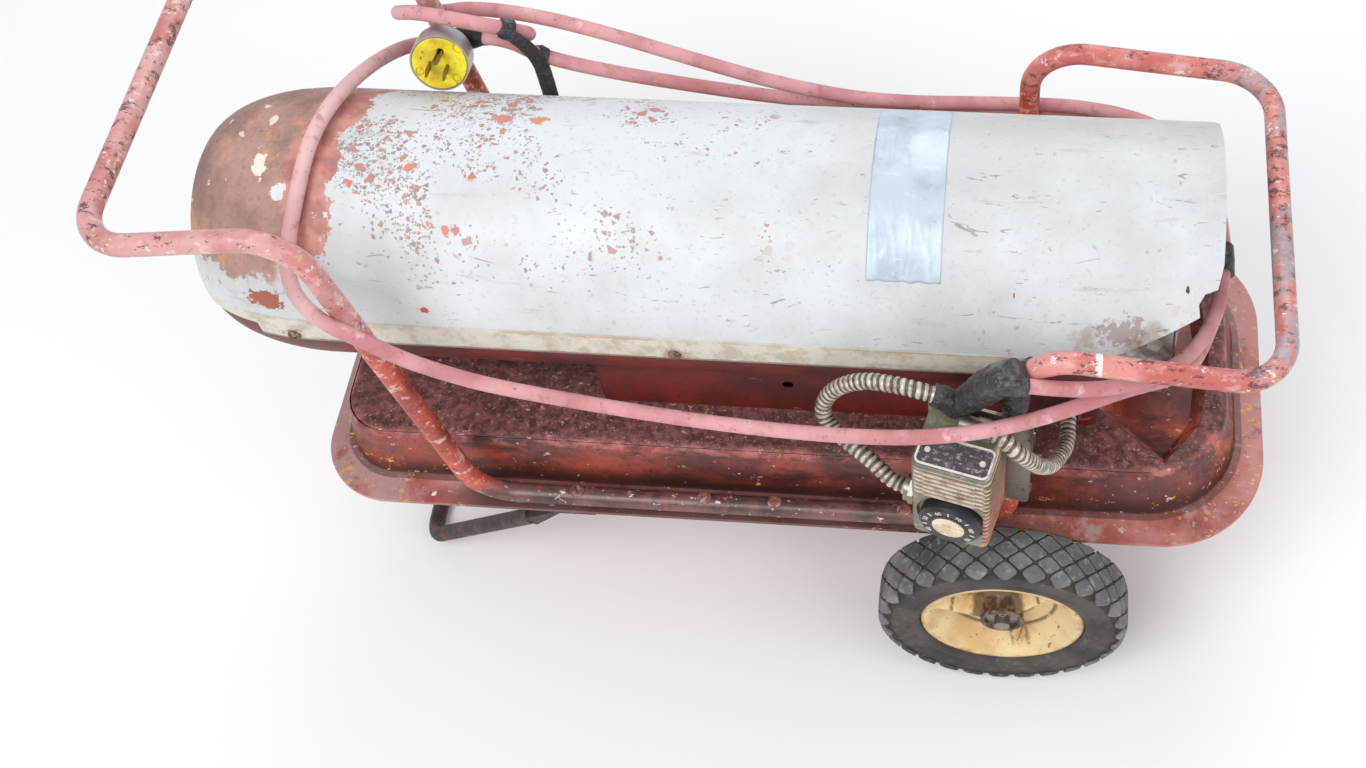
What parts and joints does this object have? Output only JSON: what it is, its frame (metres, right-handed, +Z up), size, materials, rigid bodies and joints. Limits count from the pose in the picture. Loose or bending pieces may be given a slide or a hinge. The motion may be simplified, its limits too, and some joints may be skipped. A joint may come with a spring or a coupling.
{
  "type": "forced air heater",
  "caption": "Portable forced-air oil heater: round shell and burner on a flat tank, tube handles, two wheels, front stand, clamp-on thermostat and coiled cord with plug.",
  "frame": {"origin": "on the ground, in the upright plane halfway between the wheels, under the middle of the heater's length", "axes": "+X from the nose to the intake, +Y from the thermostat's side to the other, +Z up"},
  "size_m": [0.8318, 0.3999, 0.5103],
  "materials": {
    "tank_paint": "worn satin",
    "tube_paint": "worn satin",
    "upper_shell_paint": "weathered matt",
    "lower_shell_paint": "weathered matt",
    "stand_steel": "weathered matt",
    "bolt_steel": "rusty",
    "axle_steel": "plain",
    "burnt_steel": "heat stained",
    "hub_paint": "worn satin",
    "tyre_rubber": "matt",
    "thermostat_case": "weathered matt",
    "galvanised": "spangled",
    "badge_metal": "worn satin",
    "dial_plastic": "satin",
    "conduit_metal": "galvanised",
    "black_tape": "glossy creases",
    "silver_tape": "dull",
    "cord_jacket": "faded matt",
    "cord_sleeve": "matt",
    "plug_black": "matt",
    "plug_metal": "dull",
    "plug_yellow": "satin",
    "blade_brass": "tarnished",
    "motor_paint": "satin",
    "fan_metal": "dull",
    "nozzle_brass": "plain",
    "ceramic": "glazed"
  },
  "bodies": {
    "heater": {"tank_upper": "tank_paint", "tank_lower": "tank_paint", "filler_neck": "tank_paint", "drain_plug": "bolt_steel", "front_handle": "tube_paint", "rear_handle": "tube_paint", "rail_sleeves": "axle_steel", "rail_bolts": "bolt_steel", "rail_nuts": "bolt_steel", "front_stand": "stand_steel", "axle": "axle_steel", "axle_brackets": "stand_steel", "axle_spacers": "axle_steel", "axle_washers": "axle_steel", "cotter_pins": "axle_steel", "saddle": "lower_shell_paint", "ignition_box": "motor_paint", "lower_shell": "lower_shell_paint", "upper_shell": "upper_shell_paint", "shell_screws": "bolt_steel", "duct_tape": "silver_tape", "combustion_chamber": "burnt_steel", "chamber_straps": "burnt_steel", "burner_head": "burnt_steel", "nozzle": "nozzle_brass", "electrodes": "ceramic", "motor": "motor_paint", "fan_shroud": "galvanised", "motor_mount": "galvanised", "air_pump": "fan_metal", "filter_cover": "fan_metal", "fan_guard": "axle_steel", "fuel_line": "nozzle_brass", "air_line": "nozzle_brass", "thermo_plate": "thermostat_case", "thermo_box": "thermostat_case", "thermo_badge": "badge_metal", "badge_rivets": "fan_metal", "thermo_straps": "galvanised", "strap_screws": "bolt_steel", "conduit_in": "conduit_metal", "conduit_out": "conduit_metal", "conduit_fittings": "galvanised", "splice_tape": "black_tape", "cord": "cord_jacket", "cord_sleeve": "cord_sleeve", "tape_tie": "black_tape", "plug_gland": "plug_black", "plug_cover": "plug_black", "plug_sleeve": "plug_metal", "plug_face": "plug_yellow", "plug_blades": "blade_brass"},
    "wheel_near": {"hub_near": "hub_paint", "tyre_near": "tyre_rubber"},
    "wheel_far": {"hub_far": "hub_paint", "tyre_far": "tyre_rubber"},
    "rotor": {"fan": "fan_metal", "motor_shaft": "axle_steel"},
    "dial": {"thermo_dial": "dial_plastic"},
    "cap": {"fuel_cap": "plug_black"}
  },
  "joints": [
    {"name": "wheel_near_spin", "type": "hinge", "parent": "heater", "child": "wheel_near", "pos_m": [0.2145, -0.1744, 0.1015], "axis": [0, 1, 0], "continuous": true},
    {"name": "wheel_far_spin", "type": "hinge", "parent": "heater", "child": "wheel_far", "pos_m": [0.2145, 0.1744, 0.1015], "axis": [0, 1, 0], "continuous": true},
    {"name": "rotor_spin", "type": "hinge", "parent": "heater", "child": "rotor", "pos_m": [0.245, 0, 0.3438], "axis": [1, 0, 0], "continuous": true},
    {"name": "dial_turn", "type": "hinge", "parent": "heater", "child": "dial", "pos_m": [0.1737, -0.19233, 0.279], "axis": [-0.2419, -0.9703, 0], "range_deg": [-150, 150]},
    {"name": "cap_turn", "type": "hinge", "parent": "heater", "child": "cap", "pos_m": [-0.19, 0.072, 0.235], "axis": [0, 0, 1], "range_deg": [0, 90]}
  ]
}
